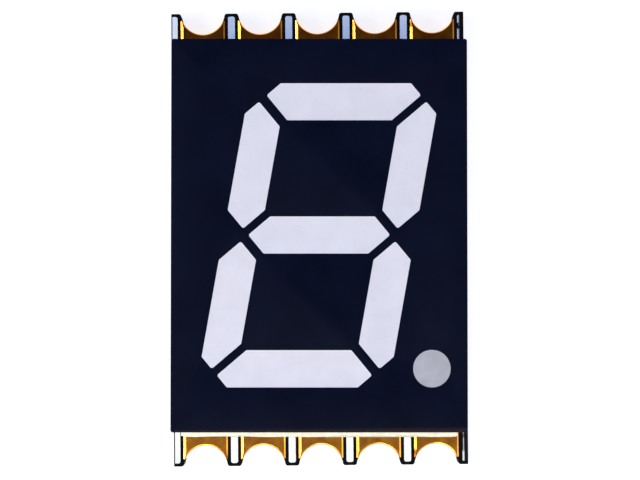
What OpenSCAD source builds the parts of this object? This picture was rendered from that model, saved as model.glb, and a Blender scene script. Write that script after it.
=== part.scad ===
// One-digit seven segment display for surface mounting, lying on its solder side.
// Millimetres. +Z comes out of the face, +Y points to the top of the digit, +X to its right.
// The origin is on the solder plane, below the middle of the board.

/* [Board] */
// Thickness of the bare laminate
laminate_t = 0.9; // [0.4:0.1:2]
// How far the board stands out beyond the housing at each end, with its terminals
ledge = 1.305; // [1.2:0.005:2]
// How far the board stands out beyond the housing at each side
board_side = 0.15; // [0:0.05:0.5]
// Width of the posts left between neighbouring notches, at the board's edge
post_w = 0.47; // [0.46:0.01:0.8]
// Width of the post left beside the last notch of a row
outer_post = 0.335; // [0.25:0.005:1]
// Radius on the corners of the posts
post_r = 0.09; // [0.02:0.01:0.12]
// How far outside the board's edge the middles of the notches lie
notch_out = 0.04; // [0:0.005:0.05]

/* [Terminals] */
// Distance between the middles of neighbouring terminals
pitch = 2; // [1.8:0.05:2.6]
// Bare gap between the lands of neighbouring terminals
land_gap = 0.47; // [0.4:0.01:0.5]
// Length of the land on the face side, which runs in under the housing
front_land_l = 1.45; // [1.3:0.05:1.6]
// Length of the land on the solder side
back_land_l = 1.6; // [1.3:0.05:2.4]
// Thickness of copper and plating, on the lands and on the notch's wall
plating_t = 0.04; // [0.03:0.005:0.06]
// Bare length left between the plating and the routed edge of the board
plating_back = 0.26; // [0.2:0.01:0.3]

/* [Solder mask] */
// Thickness of the white solder mask
mask_t = 0.03; // [0.02:0.005:0.03]
// Bare laminate left between the mask's finger on a post and the lands beside it
finger_gap = 0.115; // [0.05:0.005:0.15]
// Radius on the two corners of a finger's tip
finger_r = 0.07; // [0.01:0.01:0.08]
// Bare laminate left between a finger and the end of its post
finger_back = 0.11; // [0.05:0.01:0.3]
// Bare laminate left between the mask and the board's long edges
mask_back_off = 0.04; // [0.02:0.01:0.2]
// Bare laminate left between the mask and any copper
mask_gap = 0.07; // [0.04:0.01:0.1]

/* [Housing] */
// Height of the reflector housing
housing_h = 2.96; // [2.4:0.02:5]
// Radius on the housing's upright corners
corner_r = 0.08; // [0.02:0.01:0.2]
// Flat cut on the lower right corner, where the moulding was parted from its gate
gate_cut = 0.14; // [0.05:0.01:0.3]
// Size of each bar's light well at the board, as a share of its size at the face
well_taper = 0.62; // [0.5:0.01:0.9]
// The same share for the round well of the decimal point
point_taper = 0.76; // [0.72:0.01:0.95]
// Small turn of the housing on its board, in degrees
housing_turn = 0.5; // [0:0.1:0.8]
// Diameter of the two locating pegs
peg_d = 0.8; // [0.5:0.05:0.9]
// Room around a peg in its hole
peg_gap = 0.05; // [0.03:0.01:0.08]
// Solder mask left between a peg's hole and the bare copper beside and above it
peg_web = 0.38; // [0.2:0.02:0.5]
// The same, along the digit
peg_web_y = 0.305; // [0.2:0.005:0.32]
// Depth of the pockets cored into the housing from below
pocket_h = 1.9; // [0.5:0.1:2.2]
// Wall left between a pocket and the light wells around it
pocket_wall = 0.45; // [0.4:0.05:0.6]
// Wall left around the root of a peg inside its pocket
boss_wall = 0.3; // [0.2:0.05:0.4]

/* [Face] */
// Thickness of the dark ink on the housing's face
ink_t = 0.03; // [0.02:0.005:0.06]
// Height of the digit
digit_h = 10.16; // [9.6:0.02:10.6]
// Dark face left above and below the digit
face_end = 1.495; // [1.2:0.005:2.5]
// Dark face left beside the digit, before it is slanted
face_side = 1.75; // [1.7:0.05:2.5]
// Slant of the digit, in degrees
slant = 10; // [0:0.5:12]
// Width of a segment's stroke
stroke = 1.24; // [1.1:0.02:1.4]
// Gap between neighbouring segments, square to their mitres
gap = 0.3; // [0.2:0.01:0.5]
// Length of the cut on the digit's outer corners
digit_cut = 1.02; // [0.9:0.01:1.1]
// Radius on the corners of a segment
segment_r = 0.07; // [0.02:0.01:0.1]
// Diameter of the decimal point
point_d = 1.25; // [1.15:0.05:1.35]
// Distance from the digit's right side, before it is slanted, to the middle of the point
point_side = 0.555; // [0.5:0.005:0.6]

/* [Light source] */
// Side of a light-emitting die
die_w = 0.26; // [0.2:0.01:0.3]
// Height of a die
die_h = 0.16; // [0.1:0.01:0.2]
// Side of the square copper land below a die or a wire's outer end
pad_w = 0.36; // [0.32:0.01:0.4]
// Distance from the middle of a bar to its die
die_off = 0.35; // [0.3:0.01:0.5]
// Distance from the middle of a bar to its wire land
bond_off = 0.4; // [0.35:0.01:0.5]
// Distance from the middle of the decimal point to its die, and to its wire land
point_off = 0.22; // [0.21:0.01:0.24]
// Width of a copper track
track_w = 0.2; // [0.12:0.01:0.24]
// How far the outermost tracks keep in from the sides of the outer terminals' lands
lane_in = 0.36; // [0.3:0.01:0.4]
// Diameter of the bond wire
wire_d = 0.04; // [0.03:0.005:0.06]
// Height of the bond wire above its die
wire_rise = 0.2; // [0.15:0.01:0.3]

/* [Adhesive] */
// Thickness of the adhesive between housing and board
bond_t = 0.03; // [0.02:0.01:0.06]
// Width of the bead squeezed out along the housing's two ends
bead_w = 0.32; // [0.1:0.01:0.35]
// How far the bead's ends keep in from the housing's corners
bead_back = 0.02; // [0.01:0.01:0.3]
// Thickness of the bead where it thins out on the board and on the wall
bead_nose = 0.04; // [0.02:0.01:0.06]

/* [Hidden] */
$fn = 48;
corner_steps = 4;
wire_steps = 10;
wire_sides = 8;
cut = 1;

bars = ["a", "b", "c", "d", "e", "f", "g"];
lights = concat(bars, ["point"]);

// The digit stands in the housing, and the housing on the board
housing_l = digit_h + 2 * face_end;
board_l = housing_l + 2 * ledge;
notch_r = (pitch - post_w) / 2;
board_w = 4 * pitch + 2 * (notch_r + outer_post);
housing_w = board_w - 2 * board_side;
digit_w = housing_w - 2 * face_side;

// Widths that the terminals share with the mask between them
land_w = pitch - land_gap;
finger_w = land_gap - 2 * finger_gap;

// Levels, from the solder plane up
laminate_z = plating_t;
laminate_top = laminate_z + laminate_t;
land_top = laminate_top + plating_t;
die_top = land_top + die_h;
housing_z = land_top + bond_t;
housing_top = housing_z + housing_h;
face_z = housing_top + ink_t;

// Half sizes of the board, and how far in its lands reach
edge_x = board_w / 2;
edge_y = board_l / 2;
front_end = edge_y - front_land_l;
back_end = edge_y - back_land_l;

// The digit's strokes before the slant: their middle lines, half width and mitre set-backs
mid_x = (digit_w - stroke) / 2;
mid_y = (digit_h - stroke) / 2;
half = stroke / 2;
set = gap / sqrt(2);
past = stroke - digit_cut;

// The decimal point stands on the digit's foot line.
point_x = digit_w / 2 + point_side;
point_y = digit_h / 2 - point_d / 2;

// Outlines of the upright bars, counter-clockwise. An end at the digit's side is a symmetric
// point; at the digit's corner it is a mitre and the corner's own cut.
bar_a = [[-mid_x + set + half, mid_y - half], [mid_x - set - half, mid_y - half],
    [mid_x - (set - past) / 2, mid_y + (set + past) / 2], [mid_x - half + past, mid_y + half],
    [-mid_x + half - past, mid_y + half], [-mid_x + (set - past) / 2, mid_y + (set + past) / 2]];
bar_b = [[mid_x, set], [mid_x + half, set + half], [mid_x + half, mid_y + past - half],
    [mid_x + (set + past) / 2, mid_y + (past - set) / 2], [mid_x - half, mid_y - set - half],
    [mid_x - half, set + half]];
bar_g = [[-mid_x + set, 0], [-mid_x + set + half, -half], [mid_x - set - half, -half],
    [mid_x - set, 0], [mid_x - set - half, half], [-mid_x + set + half, half]];

// The same outline on another side of the digit, still counter-clockwise.
function flipped(points, sx, sy) =
    let (n = len(points))
    [for (i = [0:n - 1]) let (p = points[sx * sy < 0 ? n - 1 - i : i]) [sx * p[0], sy * p[1]]];

function upright(s) =
    s == "a" ? bar_a : s == "b" ? bar_b : s == "c" ? flipped(bar_b, 1, -1) :
    s == "d" ? flipped(bar_a, 1, -1) : s == "e" ? flipped(bar_b, -1, -1) :
    s == "f" ? flipped(bar_b, -1, 1) : bar_g;

// Slants a point of the upright digit.
function slanted(p) = [p[0] + p[1] * tan(slant), p[1]];

function unit(v) = v / norm(v);

// Rounds the corner c between its neighbours p and q with an arc of radius r.
function corner(p, c, q, r) =
    let (u = unit(p - c), v = unit(q - c), a = acos(u * v) / 2,
        o = c + unit(u + v) * r / sin(a), t = r / tan(a))
    [for (i = [0:corner_steps]) o + r * unit((c + u * t - o) * (corner_steps - i) + (c + v * t - o) * i)];

function rounded(points, r) =
    let (n = len(points))
    [for (i = [0:n - 1]) each corner(points[(i + n - 1) % n], points[i], points[(i + 1) % n], r)];

// Point at share t of a smooth curve from a to d, led by b and c
function bezier(a, b, c, d, t) =
    a * pow(1 - t, 3) + 3 * b * t * pow(1 - t, 2) + 3 * c * pow(t, 2) * (1 - t) + d * pow(t, 3);

function outline(s) = rounded([for (p = upright(s)) slanted(p)], segment_r);

// Middle of each light, which way it lies, and the side of the middle that its die is on
function middle(s) =
    s == "point" ? [point_x, -point_y] :
    s == "g" ? [0, 0] :
    s == "a" || s == "d" ? slanted([0, s == "a" ? mid_y : -mid_y]) :
    slanted([s == "b" || s == "c" ? mid_x : -mid_x, s == "b" || s == "f" ? mid_y / 2 : -mid_y / 2]);

function along(s) = s == "a" || s == "d" || s == "g" || s == "point" ? [1, 0] : [sin(slant), cos(slant)];

function side(s) = s == "b" || s == "c" || s == "d" || s == "g" ? 1 : -1;

function die_at(s) = middle(s) + side(s) * (s == "point" ? point_off : die_off) * along(s);

function bond_at(s) = middle(s) - side(s) * (s == "point" ? point_off : bond_off) * along(s);

// The upper peg stands to the right of the common track and below its branch to bar b. The
// lower one lies opposite.
peg_room = peg_d / 2 + peg_gap + mask_gap + track_w / 2;
peg_x = peg_room + peg_web;
peg_y = die_at("b")[1] - peg_room - peg_web_y;

// Terminals count from the lower left, as seen from the face, along the bottom and back
// along the top. Middle of a terminal on the board's edge:
function terminal_x(i) = pitch * (i < 6 ? i - 3 : 8 - i);

function terminal_side(i) = i < 6 ? -1 : 1;

// Where a track leaves the land of terminal i, just inside it
function land_out(i) = [terminal_x(i), terminal_side(i) * (front_end + track_w)];

// Corridor for the tracks that pass outside the digit, in line with the outer terminals' lands
lane_x = 2 * pitch + (land_w - track_w) / 2 - lane_in;

// Route of each signal track, from its wire land to its terminal
function route(s) =
    s == "a" ? [bond_at(s), [pitch, mid_y + half], land_out(7)] :
    s == "b" ? [bond_at(s), [lane_x, bond_at(s)[1]], [lane_x, front_end - track_w], land_out(6)] :
    s == "c" ? [bond_at(s), [pitch, -mid_y + half], land_out(4)] :
    s == "d" ? [bond_at(s), [-pitch, -mid_y - half], land_out(2)] :
    s == "e" ? [bond_at(s), [-lane_x, bond_at(s)[1]], [-lane_x, -front_end + track_w], land_out(1)] :
    s == "f" ? [bond_at(s), [-pitch, mid_y - half], land_out(9)] :
    s == "g" ? [bond_at(s), [-lane_x, 0], [-lane_x, front_end - track_w], land_out(10)] :
    [bond_at(s), [lane_x, -mid_y - half], land_out(5)];

// Routes of the common track, which links the eight dies to the two middle terminals
common_routes = [
    [land_out(8), land_out(3)],
    [[0, mid_y], die_at("a")],
    [[0, -mid_y], die_at("d")],
    [[0, 0], die_at("g")],
    [[0, die_at("b")[1]], die_at("b")],
    [[0, die_at("e")[1]], die_at("e")],
    [[0, die_at("f")[1]], die_at("f")],
    [[0, die_at("c")[1]], [die_at("point")[0], die_at("c")[1]], die_at("point")]];

// Flat shapes

// One straight run of track with round ends
module run(p, q, w) {
    translate(p) circle(d = w);
    translate(q) circle(d = w);
    translate(p) rotate(atan2(q[1] - p[1], q[0] - p[0])) translate([0, -w / 2]) square([norm(q - p), w]);
}

module path(points, w) {
    for (i = [1:len(points) - 1]) run(points[i - 1], points[i], w);
}

module pad(p, w) {
    translate(p) square(w, center = true);
}

// Copper between the two rows of lands, widened by grow all round
module track_plan(s, grow = 0) {
    intersection() {
        union() {
            path(route(s), track_w + 2 * grow);
            pad(bond_at(s), pad_w + 2 * grow);
        }
        square([board_w, 2 * front_end], center = true);
    }
}

module common_plan(grow = 0) {
    intersection() {
        union() {
            for (r = common_routes) path(r, track_w + 2 * grow);
            for (s = lights) pad(die_at(s), pad_w + 2 * grow);
        }
        square([board_w, 2 * front_end], center = true);
    }
}

module at_terminal(i) {
    translate([terminal_x(i), terminal_side(i) * edge_y]) mirror([0, terminal_side(i) < 0 ? 1 : 0]) children();
}

module notch_plan(grow = 0) {
    translate([0, notch_out]) circle(notch_r + grow);
}

// Land of a terminal, seen from the board's edge with the board below
module land_plan(l) {
    difference() {
        translate([-land_w / 2, -l]) square([land_w, l - plating_back]);
        notch_plan();
    }
}

// Plated wall of the notch, from above
module wall_plan() {
    intersection() {
        difference() {
            notch_plan(plating_t);
            notch_plan();
        }
        translate([-land_w / 2, -2 * notch_r]) square([land_w, 2 * notch_r - plating_back]);
    }
}

// What is rounded off the two corners of the posts beside a notch
module post_corners() {
    x = sqrt(pow(notch_r + post_r, 2) - pow(notch_out + post_r, 2));
    for (s = [-1, 1]) difference() {
        polygon([[0, notch_out], [s * x, -post_r], [s * x, cut], [0, cut]]);
        translate([s * x, -post_r]) circle(post_r);
    }
}

module peg_holes() {
    for (s = [-1, 1]) translate([s * peg_x, s * peg_y]) circle(d = peg_d + 2 * peg_gap);
}

// One strip of mask from post to post, with its four corners rounded
module finger_plan() {
    l = edge_y - finger_back;
    square([finger_w - 2 * finger_r, 2 * l], center = true);
    square([finger_w, 2 * (l - finger_r)], center = true);
    for (x = [-1, 1], y = [-1, 1]) translate([x * (finger_w / 2 - finger_r), y * (l - finger_r)]) circle(finger_r);
}

// Solder mask: a body between the rows of lands, and a finger out along each post
module mask_plan(end) {
    difference() {
        intersection() {
            square([board_w - 2 * mask_back_off, board_l], center = true);
            union() {
                square([board_w, 2 * (end - mask_gap)], center = true);
                for (i = [-2.5:2.5]) translate([i * pitch, 0]) finger_plan();
            }
        }
        peg_holes();
    }
}

module housing_plan() {
    w = housing_w / 2;
    l = housing_l / 2;
    difference() {
        union() {
            square([housing_w - 2 * corner_r, housing_l], center = true);
            square([housing_w, housing_l - 2 * corner_r], center = true);
            for (x = [-1, 1], y = [-1, 1]) translate([x * (w - corner_r), y * (l - corner_r)]) circle(corner_r);
        }
        polygon([[w + cut, -l + gate_cut + cut], [w - gate_cut - cut, -l - cut], [w + cut, -l - cut]]);
    }
}

// Pocket inside the upper or lower loop of the digit
module pocket_plan(s) {
    x = mid_x - half - pocket_wall;
    low = half + pocket_wall;
    high = mid_y - half - pocket_wall;
    polygon([for (p = [[-x, low], [x, low], [x, high], [-x, high]]) s * slanted(p)]);
}

module light_plan(s, share = 1) {
    m = middle(s);
    if (s == "point") translate(m) circle(d = point_d * share);
    else polygon([for (p = outline(s)) m + (p - m) * share]);
}

// Solids

// Closed skin over a pile of rings, each with its points counter-clockwise as seen from the next
module stack(rings) {
    n = len(rings[0]);
    last = len(rings) - 1;
    polyhedron(
        points = [for (r = rings, p = r) p],
        faces = concat(
            [[for (i = [0:n - 1]) i]],
            [for (k = [0:last - 1], i = [0:n - 1]) let (j = (i + 1) % n)
                [k * n + i, (k + 1) * n + i, (k + 1) * n + j, k * n + j]],
            [[for (i = [n - 1:-1:0]) last * n + i]]));
}

// Light well of a bar: straight up from z0, widening through the housing, straight on to z1
module bar_well(s, z0, z1) {
    m = middle(s);
    levels = [[z0, well_taper], [housing_z, well_taper], [housing_top, 1], [z1, 1]];
    stack([for (v = levels) [for (p = outline(s)) concat(m + (p - m) * v[1], v[0])]]);
}

module light_well(s, z0, z1) {
    r = point_d / 2;
    if (s == "point") translate(middle(s)) rotate_extrude() polygon([[0, z0], [r * point_taper, z0],
        [r * point_taper, housing_z], [r, housing_top], [r, z1], [0, z1]]);
    else bar_well(s, z0, z1);
}

// The housing and all that was moulded or poured into it sit a little turned on the board.
module seated() {
    rotate(-housing_turn) children();
}

module laminate() {
    color([0.04, 0.04, 0.045]) translate([0, 0, laminate_z]) linear_extrude(laminate_t) difference() {
        square([board_w, board_l], center = true);
        for (i = [1:10]) at_terminal(i) {
            notch_plan();
            wall_plan();
            post_corners();
        }
        peg_holes();
    }
}

module front_mask() {
    color([0.93, 0.94, 0.96]) translate([0, 0, laminate_top]) linear_extrude(mask_t) difference() {
        mask_plan(front_end);
        for (s = lights) track_plan(s, mask_gap);
        common_plan(mask_gap);
    }
}

module back_mask() {
    color([0.93, 0.94, 0.96]) translate([0, 0, laminate_z - mask_t]) linear_extrude(mask_t) mask_plan(back_end);
}

module terminal(i) {
    color([0.83, 0.62, 0.25]) at_terminal(i) {
        linear_extrude(plating_t) land_plan(back_land_l);
        translate([0, 0, laminate_z]) linear_extrude(laminate_t) wall_plan();
        translate([0, 0, laminate_top]) linear_extrude(plating_t) land_plan(front_land_l);
    }
}

module common_track() {
    color([0.75, 0.45, 0.25]) translate([0, 0, laminate_top]) linear_extrude(plating_t) common_plan();
}

module track(s) {
    color([0.75, 0.45, 0.25]) translate([0, 0, laminate_top]) linear_extrude(plating_t) track_plan(s);
}

module die(s) {
    color([0.55, 0.5, 0.3]) translate(concat(die_at(s), land_top)) rotate(s == "point" ? 0 : 90 - slant)
        translate([-die_w / 2, -die_w / 2]) cube([die_w, die_w, die_h]);
}

// Wire bond: one loop that rises from the die and comes down on the land, wider at both feet
module wire(s) {
    p = die_at(s);
    u = unit(bond_at(s) - p);
    l = norm(bond_at(s) - p);
    high = die_top + wire_rise;
    n = wire_steps;
    line = [for (i = [0:n]) bezier([0, die_top], [0, high], [l, high], [l, land_top], i / n)];
    color([0.9, 0.7, 0.3]) stack([for (i = [0:n])
        let (t = i == 0 ? [0, 1] : i == n ? [0, -1] : unit(line[i + 1] - line[i - 1]),
            r = i == 0 || i == n ? wire_d : wire_d / 2)
        [for (k = [0:wire_sides - 1])
            let (f = 360 * k / wire_sides, along_u = line[i][0] - r * cos(f) * t[1],
                across = p + along_u * u + r * sin(f) * [u[1], -u[0]])
            [across[0], across[1], line[i][1] + r * cos(f) * t[0]]]]);
}

module segment(s) {
    color([0.88, 0.88, 0.93]) difference() {
        seated() light_well(s, land_top, face_z);
        die(s);
        wire(s);
    }
}

module bead() {
    l = housing_w / 2 - max(corner_r, gate_cut) - bead_back;
    translate([-l, housing_l / 2, land_top])
        rotate([90, 0, 90]) linear_extrude(2 * l) {
            difference() {
                square(bead_w);
                translate([bead_w + bead_nose, bead_w + bead_nose]) circle(bead_w);
            }
            translate([-bead_w, 0]) square([bead_w, bond_t]);
        }
}

module adhesive() {
    color([0.97, 0.97, 0.93]) seated() {
        translate([0, 0, land_top]) linear_extrude(bond_t) difference() {
            housing_plan();
            for (s = bars) light_plan(s, well_taper);
            light_plan("point", point_taper);
            for (s = [-1, 1]) pocket_plan(s);
            for (s = [-1, 1]) translate([s * peg_x, s * peg_y]) circle(d = peg_d + 2 * boss_wall);
        }
        bead();
        mirror([0, 1, 0]) bead();
    }
}

module housing() {
    color([0.95, 0.95, 0.95]) seated() {
        difference() {
            translate([0, 0, housing_z]) linear_extrude(housing_h) housing_plan();
            for (s = lights) light_well(s, housing_z - cut, housing_top + cut);
            for (s = [-1, 1]) translate([0, 0, housing_z - cut]) linear_extrude(pocket_h + cut) difference() {
                pocket_plan(s);
                translate([s * peg_x, s * peg_y]) circle(d = peg_d + 2 * boss_wall);
            }
        }
        for (s = [-1, 1]) translate([s * peg_x, s * peg_y, laminate_z]) cylinder(d = peg_d, h = housing_z - laminate_z);
    }
}

module face_ink() {
    color([0.05, 0.07, 0.14]) seated() translate([0, 0, housing_top]) linear_extrude(ink_t) difference() {
        housing_plan();
        for (s = lights) light_plan(s);
    }
}

laminate();
front_mask();
back_mask();
for (i = [1:10]) terminal(i);
common_track();
for (s = lights) {
    track(s);
    die(s);
    wire(s);
    segment(s);
}
adhesive();
housing();
face_ink();
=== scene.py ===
import math

import bmesh
import bpy
from mathutils import Matrix, Vector, noise


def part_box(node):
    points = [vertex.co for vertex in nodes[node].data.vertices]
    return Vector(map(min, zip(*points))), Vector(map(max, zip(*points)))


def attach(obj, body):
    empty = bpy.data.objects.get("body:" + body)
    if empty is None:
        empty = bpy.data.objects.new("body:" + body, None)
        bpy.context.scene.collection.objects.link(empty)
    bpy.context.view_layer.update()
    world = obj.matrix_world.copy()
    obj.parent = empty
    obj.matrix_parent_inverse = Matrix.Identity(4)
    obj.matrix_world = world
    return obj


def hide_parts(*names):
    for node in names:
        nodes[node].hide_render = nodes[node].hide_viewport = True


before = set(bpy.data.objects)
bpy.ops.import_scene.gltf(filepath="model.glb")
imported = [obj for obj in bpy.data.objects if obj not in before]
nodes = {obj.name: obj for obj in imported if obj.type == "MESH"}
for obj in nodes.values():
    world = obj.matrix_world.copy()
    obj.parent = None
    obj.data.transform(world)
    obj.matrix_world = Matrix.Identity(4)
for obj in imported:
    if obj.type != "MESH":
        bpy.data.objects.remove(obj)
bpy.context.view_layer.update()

mm = 0.001


# The board is black glass-epoxy laminate, 0.9 mm thick. A strip of boards was routed apart
# through the middle of the plated holes, which left the half-round notches and the cut edges
# that show the layers of glass cloth.
def finish(name, colour, roughness, metallic=0.0, gloss=0.5):
    """A material with one shader. Colours are linear."""
    made = bpy.data.materials.new(name)
    made.use_nodes = True
    shader = made.node_tree.nodes["Principled BSDF"]
    shader.inputs["Base Color"].default_value = (*colour, 1)
    shader.inputs["Roughness"].default_value = roughness
    shader.inputs["Metallic"].default_value = metallic
    shader.inputs["Specular IOR Level"].default_value = gloss
    return made, shader


def step(shader, kind, **sockets):
    """A node beside the shader, its sockets set to a value or fed by another node's output."""
    made = shader.id_data.nodes.new("ShaderNode" + kind)
    for name, value in sockets.items():
        socket = made.inputs[name.replace("_", " ")]
        if isinstance(value, bpy.types.NodeSocket):
            shader.id_data.links.new(value, socket)
        else:
            socket.default_value = value
    return made


def spots(shader, per_mm, detail=3.0, stretch=(1, 1, 1)):
    """Soft spots, so many to the millimetre, from 0 to 1."""
    place = step(shader, "Mapping", Vector=step(shader, "TexCoord").outputs["Object"],
                 Scale=[share / mm for share in stretch])
    made = step(shader, "TexNoise", Vector=place.outputs["Vector"], Scale=per_mm, Detail=detail)
    return made.outputs["Fac"]


def tint(shader, share, low, high, start=0.35, stop=0.65):
    """The colour low where share is below start, the colour high where it is above stop."""
    made = step(shader, "ValToRGB", Fac=share)
    for element, place, colour in zip(made.color_ramp.elements, (start, stop), (low, high)):
        element.position = place
        element.color = (*colour, 1)
    return made.outputs["Color"]


def paint(shader, colour):
    """Lays a colour on the shader."""
    shader.id_data.links.new(colour, shader.inputs["Base Color"])


def relief(shader, height, depth):
    """Raises the surface by depth millimetres where height is 1."""
    made = step(shader, "Bump", Height=height, Strength=1.0, Distance=depth * mm)
    shader.id_data.links.new(made.outputs["Normal"], shader.inputs["Normal"])


def wear(piece, made):
    """Puts one finish on a piece in place of what it had."""
    piece.data.materials.clear()
    piece.data.materials.append(made)


glass_epoxy, shader = finish("black glass epoxy", (0.002, 0.002, 0.0025), 0.6, gloss=0.08)
cloth_layers = spots(shader, 1.1, detail=4, stretch=(0.35, 0.35, 16))
paint(shader, tint(shader, cloth_layers, (0.0008, 0.0008, 0.001), (0.007, 0.0065, 0.006),
                   0.45, 0.72))
relief(shader, cloth_layers, 0.012)
wear(nodes["laminate"], glass_epoxy)


# The board's copper is one etched layer on the face side, 0.04 mm thick: a common track for
# the eight dies and one signal track for each wire land.
def dull(shader, share, low, high):
    """Roughness from low to high as share goes from 0 to 1."""
    made = step(shader, "MapRange", Value=share, To_Min=low, To_Max=high)
    shader.id_data.links.new(made.outputs["Result"], shader.inputs["Roughness"])


copper, shader = finish("etched copper", (0.80, 0.36, 0.20), 0.35, metallic=1.0)
tarnish = spots(shader, 3, detail=6)
paint(shader, tint(shader, tarnish, (0.52, 0.20, 0.11), (0.88, 0.43, 0.26)))
dull(shader, tarnish, 0.28, 0.5)
relief(shader, spots(shader, 25), 0.002)
lights = ("a", "b", "c", "d", "e", "f", "g", "point")
wear(nodes["common_track"], copper)
for light in lights:
    wear(nodes[f"track_{light}"], copper)


# Ten terminals in two rows of five, each one piece of metal: copper plated through its notch,
# nickelled and gilt, with a land on the face side and a longer one on the solder side. The
# etched sides of the lands slope, and the plating rounds off the rim of the notch.
board_low, board_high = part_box("laminate")
terminal_low, terminal_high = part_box("terminal_3")
pitch = 2 * mm
land_half = (terminal_high.x - terminal_low.x) / 2
front_land = 1.45 * mm
back_land = 1.6 * mm
plating = board_low.z - terminal_low.z

# The notches' middles lie a little outside the board's edge, and the plating stops inside it.
notch_r = 0.765 * mm
notch_out = 0.04 * mm
plating_back = 0.26 * mm
notch_steps = 18

# A slope falls by slope_fall for each unit of its width. The etching cut less into the right.
left_slope_w = 0.08 * mm
right_slope_w = 0.045 * mm
slope_fall = 0.36

# The rim is a quarter round, with a narrow flat ring inside it that keeps the shading straight.
rim_r = 0.045 * mm
rim_flat = 0.012 * mm
rim_angles = [math.radians(angle) for angle in range(0, 91, 15)]

# Where a land tapers off beside its notch, each form has at most this share of the width.
core_share, slope_share, rim_share = 0.8, 0.5, 0.3

# The fourth point of half a section is where the flat of the land meets its slope.
flat_end = 3
sharpest = math.radians(17)


def land_edge(angle, length, inset=0.0):
    """Where a ray from the middle of the notch leaves a land of that length, drawn in by inset."""
    across, inward = math.sin(angle), math.cos(angle)
    far = min((land_half - inset) / max(abs(across), 1e-9), (length + notch_out - inset) / inward)
    return Vector((across * far, -inward * far))


def half_section(angle_in, angle_out, length, face, core, outwards):
    """Section through one land and its half of the notch, from the land's side in to the rim."""
    rim = Vector((notch_r * math.sin(angle_in), -notch_r * math.cos(angle_in)))
    edge = land_edge(angle_out, length)
    wide = (edge - rim).length
    along = (edge - rim).normalized()
    rightness = max(-1, min(1, math.tan(angle_out) * (length + notch_out) / land_half))
    slope_w = (left_slope_w * (1 - rightness) + right_slope_w * (1 + rightness)) / 2
    full_slope = edge.length - land_edge(angle_out, length, slope_w).length
    slope = min(full_slope, slope_share * wide)
    fall = slope_fall * slope_w * slope / full_slope
    lip = min(rim_r, rim_share * wide)
    points = [(min(plating, core_share * wide), core), (wide, core),
              (wide, face - outwards * fall), (wide - slope, face),
              (min(lip + rim_flat, (wide - slope + lip) / 2), face)]
    points += [(lip * (1 - math.sin(angle)), face - outwards * lip * (1 - math.cos(angle)))
               for angle in rim_angles]
    return [(*(rim + along * out), z) for out, z in points]


def terminal_section(angle_in, angle_out):
    """Closed section through a terminal, from its notch's rim out to the sides of its lands."""
    front = half_section(angle_in, angle_out, front_land, terminal_high.z, board_high.z, 1)
    back = half_section(angle_in, angle_out, back_land, terminal_low.z, board_low.z, -1)
    return front + back[::-1]


def terminal_angles():
    """Pairs of angles round the notch: at its rim, and at the sides of the lands."""
    last_in = math.acos((plating_back + notch_out) / notch_r)
    last_out = math.atan(land_half / (plating_back + notch_out))
    corners = [math.atan(land_half / (length + notch_out)) for length in (front_land, back_land)]
    steps = sorted([i * last_in / notch_steps for i in range(notch_steps)] + corners)
    half = [(angle, angle) for angle in steps] + [(last_in, last_out)]
    return [(-angle_in, -angle_out) for angle_in, angle_out in reversed(half)] + half[1:]


def terminal_shell(x, row):
    """One terminal in the upper row, 1, or the lower row, -1."""
    shape = bmesh.new()
    rings = []
    for angle_in, angle_out in terminal_angles():
        rings.append([shape.verts.new((x + px, row * (board_high.y + notch_out + py), pz))
                      for px, py, pz in terminal_section(angle_in, angle_out)])
    count = len(rings[0])
    for ring, after in zip(rings, rings[1:]):
        for i in range(count):
            j = (i + 1) % count
            shape.faces.new((ring[i], ring[j], after[j], after[i]))
    shape.faces.new(rings[0])
    shape.faces.new(rings[-1])
    bmesh.ops.recalc_face_normals(shape, faces=shape.faces)
    for face in shape.faces:
        face.smooth = True
    for edge in shape.edges:
        edge.smooth = edge.calc_face_angle() < sharpest
    for ring, after in zip(rings, rings[1:]):
        for i in (flat_end, count - 1 - flat_end):
            shape.edges.get((ring[i], after[i])).smooth = False
    return shape


def piece_from(shape, name, stands_for):
    """Turns a bmesh into a piece that rides on the body and stands for a CAD node."""
    mesh = bpy.data.meshes.new(name)
    shape.to_mesh(mesh)
    shape.free()
    piece = bpy.data.objects.new(name, mesh)
    bpy.context.scene.collection.objects.link(piece)
    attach(piece, "root")
    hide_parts(stands_for)
    return piece


# The gold is a little patchy, and a thin clear film keeps it from tarnishing.
gilding, shader = finish("gilt plating", (0.92, 0.37, 0.035), 0.15, metallic=1.0)
patches = spots(shader, 2.2, detail=6)
paint(shader, tint(shader, patches, (0.72, 0.24, 0.013), (1.0, 0.43, 0.035), 0.34, 0.66))
dull(shader, patches, 0.10, 0.20)
relief(shader, spots(shader, 9, detail=6), 0.0008)
shader.inputs["Coat Weight"].default_value = 0.6
shader.inputs["Coat Roughness"].default_value = 0.12
for number in range(1, 11):
    row = -1 if number <= 5 else 1
    x = pitch * (number - 3 if number <= 5 else 8 - number)
    terminal = piece_from(terminal_shell(x, row), f"gilt_terminal_{number}",
                          f"terminal_{number}")
    wear(terminal, gilding)


# White solder mask is screened on both sides of the board and baked. On the face side it runs
# out along each post between two terminals as a narrow finger. Its print is thin and ragged
# at the board's right edge.
def reach(shader, axis, start, stop):
    """From 0 at start to 1 at stop, in millimetres along one axis of the board."""
    place = step(shader, "SeparateXYZ", Vector=step(shader, "TexCoord").outputs["Object"])
    made = step(shader, "MapRange", Value=place.outputs[axis],
                From_Min=start * mm, From_Max=stop * mm)
    return made.outputs["Result"]


def combine(shader, operation, first, *others):
    """Shares put together by one kind of sum."""
    for other in others:
        made = step(shader, "Math", Value=first)
        made.operation = operation
        made.use_clamp = True
        shader.id_data.links.new(other, made.inputs[1])
        first = made.outputs["Value"]
    return first


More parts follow.
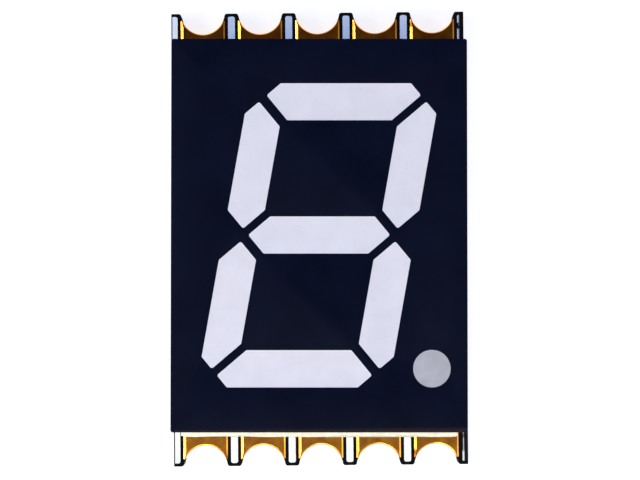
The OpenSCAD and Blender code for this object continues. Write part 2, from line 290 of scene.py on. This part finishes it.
def band(shader, axis, start, full, still, stop):
    """1 between full and still, and down to 0 at start and stop, in millimetres."""
    return combine(shader, "MULTIPLY", reach(shader, axis, start, full),
                   reach(shader, axis, stop, still))


def over(shader, share, below, above, blend="MIX"):
    """One colour laid over another by share."""
    made = step(shader, "MixRGB", Fac=share, Color1=below, Color2=above)
    made.blend_type = blend
    return made.outputs["Color"]


solder_mask, shader = finish("white solder mask", (0.84, 0.89, 0.95), 0.38, gloss=0.15)
white = tint(shader, spots(shader, 1.6, detail=5), (0.79, 0.855, 0.93), (0.87, 0.92, 0.975),
             0.3, 0.7)
blots = tint(shader, spots(shader, 5, detail=4), (0.8,) * 3, (1.3,) * 3)
shreds = tint(shader, spots(shader, 4, detail=3), (0,) * 3, (0.6,) * 3, 0.38, 0.52)
ragged = combine(shader, "MULTIPLY", reach(shader, "X", 4.93, 5.01), blots)

# The upper right finger is narrow and broken through once.
upper_break = combine(shader, "MULTIPLY", band(shader, "Y", 7.23, 7.31, 7.47, 7.53), blots)
upper_side = combine(shader, "MULTIPLY", reach(shader, "X", 4.90, 4.96),
                     reach(shader, "Y", 6.4, 6.5))
upper_loss = combine(shader, "MAXIMUM", upper_break, upper_side)

# Of the lower right finger, only the tip and a thin broken line are left.
thin_line = combine(shader, "MULTIPLY", band(shader, "X", 4.92, 4.935, 4.95, 4.965), shreds)
tip = combine(shader, "MULTIPLY", band(shader, "X", 4.895, 4.92, 4.955, 4.98),
              band(shader, "Y", -7.36, -7.46, -7.72, -7.78))
lower_loss = combine(shader, "SUBTRACT", reach(shader, "Y", -6.35, -6.45),
                     combine(shader, "MAXIMUM", thin_line, tip))

last_fingers = combine(shader, "MULTIPLY", reach(shader, "X", 4.84, 4.86),
                       reach(shader, "Z", 0.90, 0.94))
loss = combine(shader, "MULTIPLY", last_fingers,
               combine(shader, "MAXIMUM", lower_loss, upper_loss))
bare_laminate = (0.002, 0.002, 0.003, 1)
paint(shader, over(shader, combine(shader, "MAXIMUM", ragged, loss), white, bare_laminate))
relief(shader, spots(shader, 14, detail=3), 0.0012)
for side in ("front_mask", "back_mask"):
    wear(nodes[side], solder_mask)


# Eight light-emitting dies, sawn from a wafer and glued to the common track with silver epoxy.
# The crystal is a greyish green, with rougher sawn sides.
crystal, shader = finish("sawn crystal", (0.30, 0.34, 0.20), 0.25, gloss=0.8)
saw_marks = spots(shader, 12, detail=4, stretch=(1, 1, 6))
paint(shader, tint(shader, saw_marks, (0.20, 0.23, 0.13), (0.42, 0.46, 0.30)))
relief(shader, saw_marks, 0.002)
for light in lights:
    wear(nodes[f"die_{light}"], crystal)


# A gold wire is ball bonded to each die and stitched down on the land beside it. It was drawn
# through a diamond, which leaves a faint grain.
drawn_gold, shader = finish("drawn gold wire", (0.98, 0.62, 0.20), 0.22, metallic=1.0)
drawing_marks = spots(shader, 30, detail=3, stretch=(0.3, 0.3, 0.3))
paint(shader, tint(shader, drawing_marks, (0.86, 0.50, 0.14), (1.0, 0.70, 0.26)))
relief(shader, drawing_marks, 0.0008)
for light in lights:
    wear(nodes[f"wire_{light}"], drawn_gold)


# The adhesive is a film of ivory epoxy between board and housing. Pressed down, it ran out
# along the housing's two ends in a wavy bead, which draws back where it meets the bare gaps
# beside the posts.
bead_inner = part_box("housing")[1].y - 0.05 * mm
bead_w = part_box("adhesive")[1].y - bead_inner
bead_cuts = 240
shortest_side = 4 * mm
outer_share = 0.25
wave = 0.055 * mm
waves_per_mm = 0.9
least_back = 0.35
gap_at = 0.1775 * mm
gap_w = 0.07 * mm


def smooth(piece, limit):
    """Shades a piece smooth, but for edges sharper than so many degrees."""
    for face in piece.data.polygons:
        face.use_smooth = True
    piece.data.set_sharp_from_angle(angle=math.radians(limit))


def copy_of(node):
    """The mesh of a CAD node as one connected shape, ready to be worked on."""
    shape = bmesh.new()
    shape.from_mesh(nodes[node].data)
    bmesh.ops.remove_doubles(shape, verts=shape.verts, dist=1e-7)
    return shape


shape = copy_of("adhesive")
long_edges = [edge for edge in shape.edges
              if min(abs(vert.co.y) for vert in edge.verts) > bead_inner
              and abs(edge.verts[0].co.x - edge.verts[1].co.x) > shortest_side]
bmesh.ops.subdivide_edges(shape, edges=long_edges, cuts=bead_cuts, use_grid_fill=True)
for vert in shape.verts:
    out = (abs(vert.co.y) - bead_inner) / bead_w
    if out > outer_share:
        place = Vector((vert.co.x, vert.co.y, 0)) * (waves_per_mm / mm) + Vector((0, 0, 3))
        ripple = noise.fractal(place, 1.0, 2.0, 4)
        from_post = abs((vert.co.x / pitch) % 1 - 0.5) * pitch
        at_gap = math.exp(-((from_post - gap_at) / gap_w) ** 2)
        drawn_back = max(0.0, wave * (least_back + 1.1 * ripple + at_gap))
        vert.co.y -= math.copysign(drawn_back * out, vert.co.y)
adhesive = piece_from(shape, "adhesive_film", "adhesive")
smooth(adhesive, 50)
ivory_epoxy, shader = finish("ivory epoxy", (0.86, 0.85, 0.75), 0.35, gloss=0.5)
fillers = spots(shader, 7, detail=5)
paint(shader, tint(shader, fillers, (0.76, 0.725, 0.58), (0.88, 0.845, 0.71)))
shader.inputs["Subsurface Weight"].default_value = 0.15
shader.inputs["Subsurface Radius"].default_value = (0.20 * mm, 0.18 * mm, 0.14 * mm)
relief(shader, fillers, 0.004)
wear(adhesive, ivory_epoxy)


# The reflector housing is moulded in one shot of white plastic filled with titanium dioxide.
# Its light wells widen towards the face and it stands on the board with two pegs. A mist of
# the face's ink hangs on the topmost 0.1 mm of its sides.
white_plastic, shader = finish("white moulding", (0.88, 0.88, 0.86), 0.42, gloss=0.45)
flow = spots(shader, 0.9, detail=5, stretch=(1, 1, 0.4))
white = tint(shader, flow, (0.84, 0.84, 0.82), (0.90, 0.90, 0.885), 0.3, 0.7)
mist_spots = tint(shader, spots(shader, 6, detail=4), (0.35,) * 3, (1.2,) * 3)
ink_mist = combine(shader, "MULTIPLY", reach(shader, "Z", 3.87, 3.97), mist_spots)
paint(shader, over(shader, ink_mist, white, (0.03, 0.034, 0.05, 1)))
relief(shader, spots(shader, 11, detail=4), 0.003)
wear(nodes["housing"], white_plastic)


# A blue-black ink is pad printed on the housing's face, up to the rims of the light wells. It
# covers evenly, with a fine grain, and turns brown along the face's lower edge.
ink_edge = 0.02 * mm
face_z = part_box("face_ink")[1].z
near_face = face_z - 0.001 * mm
shape = copy_of("face_ink")
rims = [edge for edge in shape.edges
        if len(edge.link_faces) == 2 and min(vert.co.z for vert in edge.verts) > near_face
        and len([face for face in edge.link_faces if face.normal.z > 0.9]) == 1]
bmesh.ops.bevel(shape, geom=rims, offset=ink_edge, offset_type="OFFSET", segments=2, profile=0.6,
                affect="EDGES", clamp_overlap=True)
ink_face = piece_from(shape, "printed_face", "face_ink")
smooth(ink_face, 35)
face_ink, shader = finish("blue-black ink", (0.0016, 0.0031, 0.0130), 0.48, gloss=0.04)
dark = tint(shader, spots(shader, 0.7, detail=6), (0.0011, 0.0024, 0.0108),
            (0.0022, 0.0042, 0.0158), 0.3, 0.7)
# Towards the face's lower edge the ink is coloured brown.
brown_lower_edge = tint(shader, reach(shader, "Y", -6.42, -6.56), (0,) * 3, (1,) * 3, 0.0, 1.0)
paint(shader, over(shader, brown_lower_edge, dark, (0.020, 0.015, 0.017, 1)))
dull(shader, spots(shader, 5, detail=5), 0.42, 0.58)
relief(shader, spots(shader, 22, detail=2), 0.0015)
wear(ink_face, face_ink)


# Milky epoxy is poured into the eight light wells from behind and cast flush with the face. It
# shrinks a little as it cures, so each bar lies a few microns hollow inside its rim. The
# resin in the point's small well came out greyer than that in the bars.
hollow_w = 0.06 * mm
hollow = 0.006 * mm
hollow_steps = ((0.25, 0.35), (0.35, 0.45), (0.4, 0.2))


def cast_resin(node):
    """A copy of a bar or the point, with its top face drawn in to a shallow hollow."""
    shape = copy_of(node)
    top = [face for face in shape.faces
           if face.normal.z > 0.99 and min(vert.co.z for vert in face.verts) > near_face]
    border = [edge for face in top for edge in face.edges
              if len([other for other in edge.link_faces if other in top]) == 1]
    bmesh.ops.delete(shape, geom=top, context="FACES_ONLY")
    inner = [edge for edge in shape.edges if not edge.link_faces]
    bmesh.ops.delete(shape, geom=inner, context="EDGES")
    lid = bmesh.ops.edgeloop_fill(shape, edges=border)["faces"]
    for width, depth in hollow_steps:
        bmesh.ops.inset_individual(shape, faces=lid, thickness=width * hollow_w,
                                   depth=-depth * hollow)
    return shape


def milky(name, low, high, speck):
    """Resin with white filler in it. speck is how dark its darkest specks are."""
    made, shader = finish(name, high, 0.3, gloss=0.45)
    clouds = tint(shader, spots(shader, 1.4, detail=6), low, high, 0.3, 0.7)
    specks = tint(shader, spots(shader, 13, detail=2), (speck,) * 3, (0,) * 3, 0.24, 0.36)
    paint(shader, over(shader, specks, clouds, (0.35, 0.34, 0.36, 1)))
    shader.inputs["Subsurface Weight"].default_value = 0.2
    shader.inputs["Subsurface Radius"].default_value = (0.3 * mm, 0.3 * mm, 0.3 * mm)
    relief(shader, spots(shader, 6, detail=5), 0.002)
    return made


bar_resin = milky("milky resin", (0.71, 0.69, 0.72), (0.76, 0.74, 0.77), 0.25)
point_resin = milky("greyer resin", (0.39, 0.385, 0.41), (0.50, 0.49, 0.515), 0.5)
for light in lights:
    node = f"segment_{light}"
    bar = piece_from(cast_resin(node), f"resin_{light}", node)
    smooth(bar, 30)
    wear(bar, point_resin if light == "point" else bar_resin)


# The display lies on a plain white table, which shines a little by itself for the camera and
# in gloss, so that it shows white and keeps a faint shadow. From below, and to the solder side
# that lies close to it, the table is clear.
table_w = 900 * mm
table_z = -0.01 * mm
touching = 0.3 * mm


def seen_rays(shader):
    """1 for what the camera sees, by itself or in gloss or through glass, 0 for plain light."""
    path = step(shader, "LightPath")
    kinds = [path.outputs[f"Is {kind} Ray"] for kind in ("Camera", "Glossy", "Transmission")]
    return combine(shader, "MAXIMUM", *kinds)


def joined(shader, kind, first, second, **sockets):
    """Two shaders put together by a node."""
    made = step(shader, kind, **sockets)
    for source, socket in zip((first, second), list(made.inputs)[-2:]):
        shader.id_data.links.new(source, socket)
    return made.outputs["Shader"]


table_mesh = bpy.data.meshes.new("table")
corners = ((-1, -1), (1, -1), (1, 1), (-1, 1))
table_mesh.from_pydata([(table_w * x, table_w * y, table_z) for x, y in corners], [],
                       [(0, 1, 2, 3)])
table = bpy.data.objects.new("table", table_mesh)
bpy.context.scene.collection.objects.link(table)
white_table, shader = finish("white table", (0.82, 0.82, 0.82), 0.9, gloss=0.1)
paint(shader, tint(shader, spots(shader, 0.05, detail=2), (0.80,) * 3, (0.84,) * 3))
shade = step(shader, "BsdfDiffuse", Color=(0.4, 0.4, 0.4, 1)).outputs["BSDF"]
glow = step(shader, "Emission", Color=(1, 1, 1, 1), Strength=0.8).outputs["Emission"]
lit = joined(shader, "AddShader", shade, glow)
shown = joined(shader, "MixShader", shader.outputs["BSDF"], lit, Fac=seen_rays(shader))
near = step(shader, "Math", Value=step(shader, "LightPath").outputs["Ray Length"])
near.operation = "LESS_THAN"
near.inputs[1].default_value = touching
below = step(shader, "NewGeometry").outputs["Backfacing"]
open_sides = joined(shader, "MixShader", shown, step(shader, "BsdfTransparent").outputs["BSDF"],
                    Fac=combine(shader, "MAXIMUM", below, near.outputs["Value"]))
shader.id_data.links.new(open_sides, shader.id_data.nodes["Material Output"].inputs["Surface"])
wear(table, white_table)


# Over the table stands a pale tent, whose walls light the display less low down. It is open to
# a dim room straight above and behind the display, and a bluish ceiling lights that side.
# Directions run from -1 to 1 along each axis.
tent = bpy.data.worlds.new("tent")
bpy.context.scene.world = tent
tent.use_nodes = True
backdrop = tent.node_tree.nodes["Background"]
aim = step(backdrop, "SeparateXYZ", Vector=step(backdrop, "TexCoord").outputs["Generated"])
dim_room = (0.042, 0.029, 0.018)
warm_white = (1.05, 1.03, 1.01)
ceiling_blue = (0.05, 0.45, 1.6)


def aimed(axis, start, stop):
    """From 0 at start to 1 at stop, along one axis of the direction that light comes from."""
    made = step(backdrop, "MapRange", Value=aim.outputs[axis], From_Min=start, From_Max=stop)
    return made.outputs["Result"]


walls = combine(backdrop, "MAXIMUM", aimed("Y", 0.1, -0.5), aimed("Z", 0.93, 0.45))
pale = tint(backdrop, walls, dim_room, (1,) * 3, 0.0, 1.0)
ceiling = combine(backdrop, "MULTIPLY", aimed("Y", 0.15, 0.50), aimed("Z", 0.05, 0.35))
cool = tint(backdrop, ceiling, warm_white, ceiling_blue, 0.0, 1.0)
low_down = combine(backdrop, "MULTIPLY", aimed("Z", 0.5, 0.0), aimed("Z", -0.1, -0.05))
dimmed = tint(backdrop, low_down, (1,) * 3, (0.4,) * 3, 0.0, 1.0)
light = over(backdrop, 1.0, over(backdrop, 1.0, cool, dimmed, "MULTIPLY"), pale, "MULTIPLY")
sky = over(backdrop, seen_rays(backdrop), light, pale)
backdrop.id_data.links.new(sky, backdrop.inputs["Color"])
backdrop.inputs["Strength"].default_value = 1.0


# Three soft lamps stand round the display: one at the left, whose light runs along the slopes
# of the lands, a weak one at the right and a broad one in front.
def lamp(name, place, wide, high, power, colour):
    """A soft lamp that faces the middle of the display. Lengths are in millimetres."""
    light = bpy.data.lights.new(name, "AREA")
    light.shape = "RECTANGLE"
    light.size = wide * mm
    light.size_y = high * mm
    light.energy = power
    light.color = colour
    made = bpy.data.objects.new(name, light)
    bpy.context.scene.collection.objects.link(made)
    made.location = Vector(place) * mm
    made.rotation_euler = Vector(place).to_track_quat("Z", "Y").to_euler()


lamp("left_lamp", (-47, 2, 56), 32, 19, 0.014, (1.0, 0.97, 0.93))
lamp("right_lamp", (38, -11, 46), 15, 13, 0.0012, (1.0, 0.97, 0.93))
lamp("front_lamp", (-6, -42, 63), 30, 30, 0.019, (1.0, 0.98, 0.95))


# The camera looks straight down on the display with a long lens, tilted a little towards its
# lower edge and turned with the housing, so that the face stands square in the picture.
face_distance = 71.2 * mm
tilt = math.radians(2.0)
turn = math.radians(0.5)
moved = Vector((0.028, -0.167)) * mm
camera_data = bpy.data.cameras.new("camera")
camera_data.lens = 120
camera_data.sensor_width = 36
camera_data.clip_start = 1 * mm
camera_data.clip_end = 10
camera = bpy.data.objects.new("camera", camera_data)
bpy.context.scene.collection.objects.link(camera)
back = Vector((0, -math.sin(tilt), math.cos(tilt)))
up = Vector((math.sin(turn), math.cos(turn), 0))
right = up.cross(back).normalized()
up = back.cross(right)
place = Vector((0, 0, face_z)) + back * face_distance + right * moved.x + up * moved.y
camera.matrix_world = Matrix.Translation(place) @ Matrix((right, up, back)).transposed().to_4x4()
bpy.context.scene.camera = camera

bpy.context.scene.view_settings.view_transform = "Standard"
